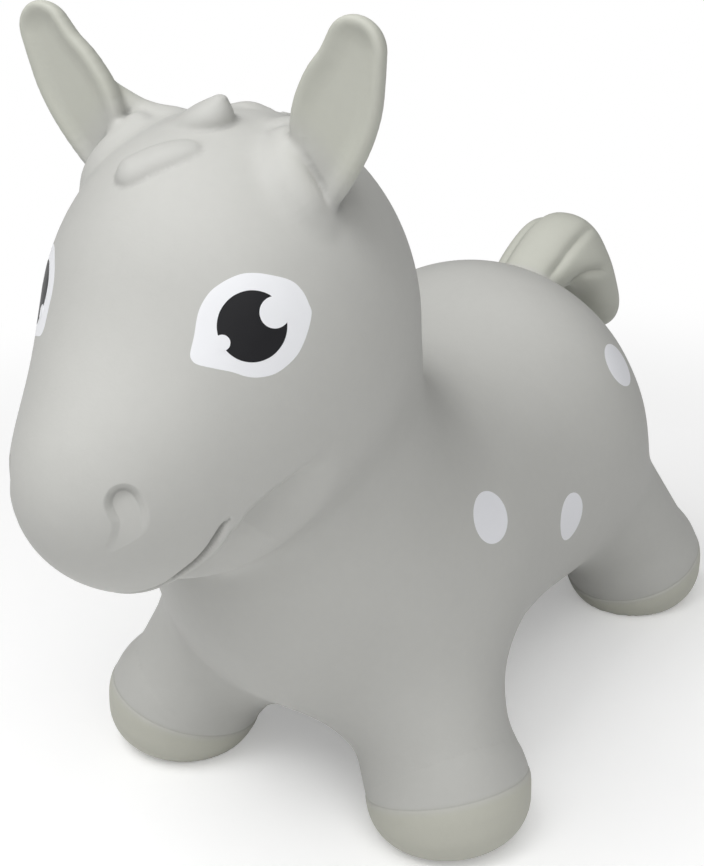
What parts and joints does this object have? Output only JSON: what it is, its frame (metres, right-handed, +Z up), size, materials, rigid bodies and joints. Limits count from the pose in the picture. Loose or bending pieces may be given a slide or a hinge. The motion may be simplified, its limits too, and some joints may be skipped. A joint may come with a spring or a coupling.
{
  "type": "bouncy horse hopper",
  "caption": "Air-filled vinyl ride-on horse with splayed stubby legs, flexing ears to hold, moulded mane and tail, printed eyes and spots, and a plugged air valve.",
  "frame": {"origin": "on the floor, under the middle of the toy's length and width", "axes": "+X to the toy's left, -Y to its front, +Z up"},
  "size_m": [0.2902, 0.561, 0.4716],
  "materials": {
    "vinyl": "matte soft PVC, pale warm grey, faint sheen",
    "ear_vinyl": "matte soft PVC, pale grey a little yellower where it is thick",
    "hoof_vinyl": "matte soft PVC, pale grey a little darker and yellower at the feet",
    "white_ink": "opaque white print, satin",
    "black_ink": "opaque near-black print, satin",
    "valve_vinyl": "pale soft PVC, satin"
  },
  "bodies": {
    "body": {"body_shell": "vinyl", "head_shell": "vinyl", "front_left_leg": "vinyl", "front_right_leg": "vinyl", "hind_left_leg": "vinyl", "hind_right_leg": "vinyl", "left_ear_collar": "ear_vinyl", "right_ear_collar": "ear_vinyl", "forelock_tuft": "vinyl", "crown_tuft": "vinyl", "poll_tuft": "vinyl", "nape_tuft": "vinyl", "tail": "ear_vinyl", "left_eye_white": "white_ink", "right_eye_white": "white_ink", "left_eye_pupil": "black_ink", "right_eye_pupil": "black_ink", "left_shoulder_spot": "white_ink", "right_shoulder_spot": "white_ink", "left_belly_spot": "white_ink", "right_belly_spot": "white_ink", "left_hip_spot": "white_ink", "right_hip_spot": "white_ink", "valve_seat": "valve_vinyl"},
    "front_left_hoof": {"front_left_hoof": "hoof_vinyl"},
    "front_right_hoof": {"front_right_hoof": "hoof_vinyl"},
    "hind_left_hoof": {"hind_left_hoof": "hoof_vinyl"},
    "hind_right_hoof": {"hind_right_hoof": "hoof_vinyl"},
    "left_ear": {"left_ear": "ear_vinyl"},
    "right_ear": {"right_ear": "ear_vinyl"},
    "valve_plug": {"valve_plug": "valve_vinyl"}
  },
  "joints": [
    {"name": "front_left_bounce", "type": "slide", "parent": "body", "child": "front_left_hoof", "axis": [0, 0, 1], "range_m": [0, 0.02], "stiffness_N_per_m": 5000, "springref_m": -0.002, "deforming": ["front_left_leg"]},
    {"name": "front_right_bounce", "type": "slide", "parent": "body", "child": "front_right_hoof", "axis": [0, 0, 1], "range_m": [0, 0.02], "stiffness_N_per_m": 5000, "springref_m": -0.002, "deforming": ["front_right_leg"]},
    {"name": "hind_left_bounce", "type": "slide", "parent": "body", "child": "hind_left_hoof", "axis": [0, 0, 1], "range_m": [0, 0.02], "stiffness_N_per_m": 5000, "springref_m": -0.002, "deforming": ["hind_left_leg"]},
    {"name": "hind_right_bounce", "type": "slide", "parent": "body", "child": "hind_right_hoof", "axis": [0, 0, 1], "range_m": [0, 0.02], "stiffness_N_per_m": 5000, "springref_m": -0.002, "deforming": ["hind_right_leg"]},
    {"name": "left_ear_flex", "type": "hinge", "parent": "body", "child": "left_ear", "pos_m": [0.06688, -0.14206, 0.39569], "axis": [0.6734, 0.2158, -0.7071], "range_deg": [-20, 20], "stiffness_Nm_per_rad": 1, "deforming": ["left_ear_collar"]},
    {"name": "right_ear_flex", "type": "hinge", "parent": "body", "child": "right_ear", "pos_m": [-0.06688, -0.14206, 0.39569], "axis": [0.6734, -0.2158, 0.7071], "range_deg": [-20, 20], "stiffness_Nm_per_rad": 1, "deforming": ["right_ear_collar"]},
    {"name": "plug_pull", "type": "slide", "parent": "body", "child": "valve_plug", "axis": [0, 0, -1], "range_m": [0, 0.026]}
  ]
}
